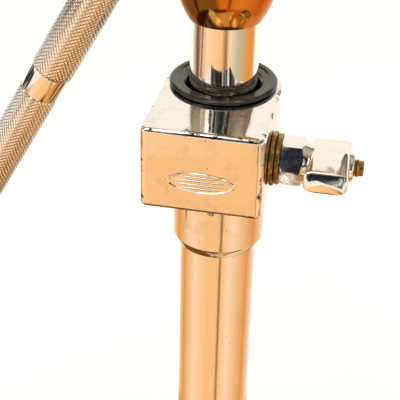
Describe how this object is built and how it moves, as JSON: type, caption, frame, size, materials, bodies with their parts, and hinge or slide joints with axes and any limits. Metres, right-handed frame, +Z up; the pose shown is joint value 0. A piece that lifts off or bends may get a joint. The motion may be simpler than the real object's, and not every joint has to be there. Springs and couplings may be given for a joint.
{
  "type": "timbales",
  "caption": "Pair of shallow single-headed steel drums on a crossbar, carried by a tilter, a telescopic chromed post with a winged height clamp, and a folding tripod.",
  "frame": {"origin": "on the floor, at the centre of the stand's bounding box; the post's axis is 84.7 mm towards -Y from it", "axes": "+Z up along the post; -Y is the clamp's front face and the player's side; +X is towards the clamp's wing nut and the larger drum"},
  "size_m": [0.863, 0.5654, 0.864],
  "materials": {
    "chrome": "bright chromium plating on die castings and tubes",
    "steel": "polished steel shells and knurled rod",
    "brass": "aged bright-dipped brass and zinc-passivated hardware",
    "nylon": "black moulded nylon",
    "rubber": "matt moulded rubber",
    "film": "coated polyester drumhead"
  },
  "bodies": {
    "post": {"lower_tube": "chrome", "tube_plug": "nylon", "clamp_block": "chrome", "flanged_bushing": "nylon", "cotter_bolt": "brass", "inner_washer": "brass", "outer_washer": "brass", "brace_hub": "chrome"},
    "clamp_wing": {"clamp_wing_nut": "chrome"},
    "mast": {"upper_tube": "chrome"},
    "swivel": {"tilter_base": "chrome", "tilt_bolt": "chrome"},
    "tilt_wing": {"tilt_wing_nut": "chrome"},
    "tilter": {"tilter_head": "chrome", "crossbar": "chrome"},
    "bell_swivel": {"bell_clamp": "chrome"},
    "bell_post": {"bell_rod": "steel"},
    "bell_wing": {"bell_wing_screw": "chrome"},
    "slider": {"leg_slider": "chrome"},
    "slider_wing": {"slider_wing_screw": "chrome"},
    "leg_1": {"leg_1": "chrome", "foot_1": "rubber"},
    "brace_1": {"brace_1": "chrome"},
    "leg_2": {"leg_2": "chrome", "foot_2": "rubber"},
    "brace_2": {"brace_2": "chrome"},
    "leg_3": {"leg_3": "chrome", "foot_3": "rubber"},
    "brace_3": {"brace_3": "chrome"},
    "left_drum": {"left_shell": "steel", "left_head": "film", "left_hoop": "chrome", "left_bracket": "chrome", "left_lug_1": "chrome", "left_lug_2": "chrome", "left_lug_3": "chrome", "left_lug_4": "chrome", "left_lug_5": "chrome"},
    "left_bracket_wing": {"left_bracket_screw": "chrome"},
    "left_tension_rod_1": {"left_tension_rod_1": "chrome"},
    "left_tension_rod_2": {"left_tension_rod_2": "chrome"},
    "left_tension_rod_3": {"left_tension_rod_3": "chrome"},
    "left_tension_rod_4": {"left_tension_rod_4": "chrome"},
    "left_tension_rod_5": {"left_tension_rod_5": "chrome"},
    "right_drum": {"right_shell": "steel", "right_head": "film", "right_hoop": "chrome", "right_bracket": "chrome", "right_lug_1": "chrome", "right_lug_2": "chrome", "right_lug_3": "chrome", "right_lug_4": "chrome", "right_lug_5": "chrome"},
    "right_bracket_wing": {"right_bracket_screw": "chrome"},
    "right_tension_rod_1": {"right_tension_rod_1": "chrome"},
    "right_tension_rod_2": {"right_tension_rod_2": "chrome"},
    "right_tension_rod_3": {"right_tension_rod_3": "chrome"},
    "right_tension_rod_4": {"right_tension_rod_4": "chrome"},
    "right_tension_rod_5": {"right_tension_rod_5": "chrome"}
  },
  "joints": [
    {"name": "mast_height", "type": "slide", "parent": "post", "child": "mast", "axis": [0, 0, 1], "range_m": [-0.02, 0.18]},
    {"name": "mast_swivel", "type": "hinge", "parent": "mast", "child": "swivel", "pos_m": [0, -0.0847, 0.6], "axis": [0, 0, 1], "range_deg": [-90, 90]},
    {"name": "tilter_tilt", "type": "hinge", "parent": "swivel", "child": "tilter", "pos_m": [0, -0.0847, 0.692], "axis": [1, 0, 0], "range_deg": [-30, 30]},
    {"name": "clamp_wing_turn", "type": "hinge", "parent": "post", "child": "clamp_wing", "pos_m": [0.0261, -0.1057, 0.5824], "axis": [1, 0, 0], "range_deg": [0, 360]},
    {"name": "tilt_wing_turn", "type": "hinge", "parent": "swivel", "child": "tilt_wing", "pos_m": [0.0138, -0.0847, 0.692], "axis": [1, 0, 0], "range_deg": [0, 360]},
    {"name": "bell_swing", "type": "hinge", "parent": "tilter", "child": "bell_swivel", "pos_m": [0, -0.1167, 0.711], "axis": [0, 1, 0], "range_deg": [-12, 20]},
    {"name": "bell_slide", "type": "slide", "parent": "bell_swivel", "child": "bell_post", "axis": [0.4955, 0, 0.8686], "range_m": [-0.02, 0.02]},
    {"name": "bell_wing_turn", "type": "hinge", "parent": "bell_swivel", "child": "bell_wing", "pos_m": [0, -0.1297, 0.711], "axis": [0, -1, 0], "range_deg": [0, 360]},
    {"name": "leg_fold", "type": "slide", "parent": "post", "child": "slider", "axis": [0, 0, 1], "range_m": [0, 0.08991]},
    {"name": "slider_wing_turn", "type": "hinge", "parent": "slider", "child": "slider_wing", "pos_m": [0, -0.1097, 0.253], "axis": [0, -1, 0], "range_deg": [0, 360]},
    {"name": "leg_1_turn", "type": "hinge", "parent": "slider", "child": "leg_1", "pos_m": [0, -0.0547, 0.261], "axis": [-1, 0, 0], "range_deg": [0, 44]},
    {"name": "brace_1_turn", "type": "hinge", "parent": "post", "child": "brace_1", "pos_m": [0, -0.0547, 0.11324], "axis": [-1, 0, 0], "range_deg": [-44, 0]},
    {"name": "leg_2_turn", "type": "hinge", "parent": "slider", "child": "leg_2", "pos_m": [-0.02598, -0.0997, 0.261], "axis": [0.5, -0.866, 0], "range_deg": [0, 44]},
    {"name": "brace_2_turn", "type": "hinge", "parent": "post", "child": "brace_2", "pos_m": [-0.02598, -0.0997, 0.11324], "axis": [0.5, -0.866, 0], "range_deg": [-44, 0]},
    {"name": "leg_3_turn", "type": "hinge", "parent": "slider", "child": "leg_3", "pos_m": [0.02598, -0.0997, 0.261], "axis": [0.5, 0.866, 0], "range_deg": [0, 44]},
    {"name": "brace_3_turn", "type": "hinge", "parent": "post", "child": "brace_3", "pos_m": [0.02598, -0.0997, 0.11324], "axis": [0.5, 0.866, 0], "range_deg": [-44, 0]},
    {"name": "left_drum_tilt", "type": "hinge", "parent": "tilter", "child": "left_drum", "pos_m": [-0.063, -0.0847, 0.73], "axis": [1, 0, 0], "range_deg": [-25, 25]},
    {"name": "left_bracket_turn", "type": "hinge", "parent": "left_drum", "child": "left_bracket_wing", "pos_m": [-0.063, -0.0647, 0.73], "axis": [0, 1, 0], "range_deg": [0, 360]},
    {"name": "left_tune_1", "type": "hinge", "parent": "left_drum", "child": "left_tension_rod_1", "pos_m": [-0.10119, 0.02051, 0.843], "axis": [0, 0, 1], "range_deg": [-360, 360]},
    {"name": "left_tune_2", "type": "hinge", "parent": "left_drum", "child": "left_tension_rod_2", "pos_m": [-0.30131, 0.08554, 0.843], "axis": [0, 0, 1], "range_deg": [-360, 360]},
    {"name": "left_tune_3", "type": "hinge", "parent": "left_drum", "child": "left_tension_rod_3", "pos_m": [-0.425, -0.0847, 0.843], "axis": [0, 0, 1], "range_deg": [-360, 360]},
    {"name": "left_tune_4", "type": "hinge", "parent": "left_drum", "child": "left_tension_rod_4", "pos_m": [-0.30131, -0.25494, 0.843], "axis": [0, 0, 1], "range_deg": [-360, 360]},
    {"name": "left_tune_5", "type": "hinge", "parent": "left_drum", "child": "left_tension_rod_5", "pos_m": [-0.10119, -0.18991, 0.843], "axis": [0, 0, 1], "range_deg": [-360, 360]},
    {"name": "right_drum_tilt", "type": "hinge", "parent": "tilter", "child": "right_drum", "pos_m": [0.037, -0.0847, 0.73], "axis": [1, 0, 0], "range_deg": [-25, 25]},
    {"name": "right_bracket_turn", "type": "hinge", "parent": "right_drum", "child": "right_bracket_wing", "pos_m": [0.037, -0.0647, 0.73], "axis": [0, 1, 0], "range_deg": [0, 360]},
    {"name": "right_tune_1", "type": "hinge", "parent": "right_drum", "child": "right_tension_rod_1", "pos_m": [0.07767, -0.19756, 0.843], "axis": [0, 0, 1], "range_deg": [-360, 360]},
    {"name": "right_tune_2", "type": "hinge", "parent": "right_drum", "child": "right_tension_rod_2", "pos_m": [0.29233, -0.2673, 0.843], "axis": [0, 0, 1], "range_deg": [-360, 360]},
    {"name": "right_tune_3", "type": "hinge", "parent": "right_drum", "child": "right_tension_rod_3", "pos_m": [0.425, -0.0847, 0.843], "axis": [0, 0, 1], "range_deg": [-360, 360]},
    {"name": "right_tune_4", "type": "hinge", "parent": "right_drum", "child": "right_tension_rod_4", "pos_m": [0.29233, 0.0979, 0.843], "axis": [0, 0, 1], "range_deg": [-360, 360]},
    {"name": "right_tune_5", "type": "hinge", "parent": "right_drum", "child": "right_tension_rod_5", "pos_m": [0.07767, 0.02815, 0.843], "axis": [0, 0, 1], "range_deg": [-360, 360]}
  ],
  "couplings": [
    {"joint": "leg_1_turn", "follows": "leg_fold", "rad_per_m": 8.5411},
    {"joint": "brace_1_turn", "follows": "leg_fold", "rad_per_m": -8.5411},
    {"joint": "leg_2_turn", "follows": "leg_fold", "rad_per_m": 8.5411},
    {"joint": "brace_2_turn", "follows": "leg_fold", "rad_per_m": -8.5411},
    {"joint": "leg_3_turn", "follows": "leg_fold", "rad_per_m": 8.5411},
    {"joint": "brace_3_turn", "follows": "leg_fold", "rad_per_m": -8.5411}
  ]
}
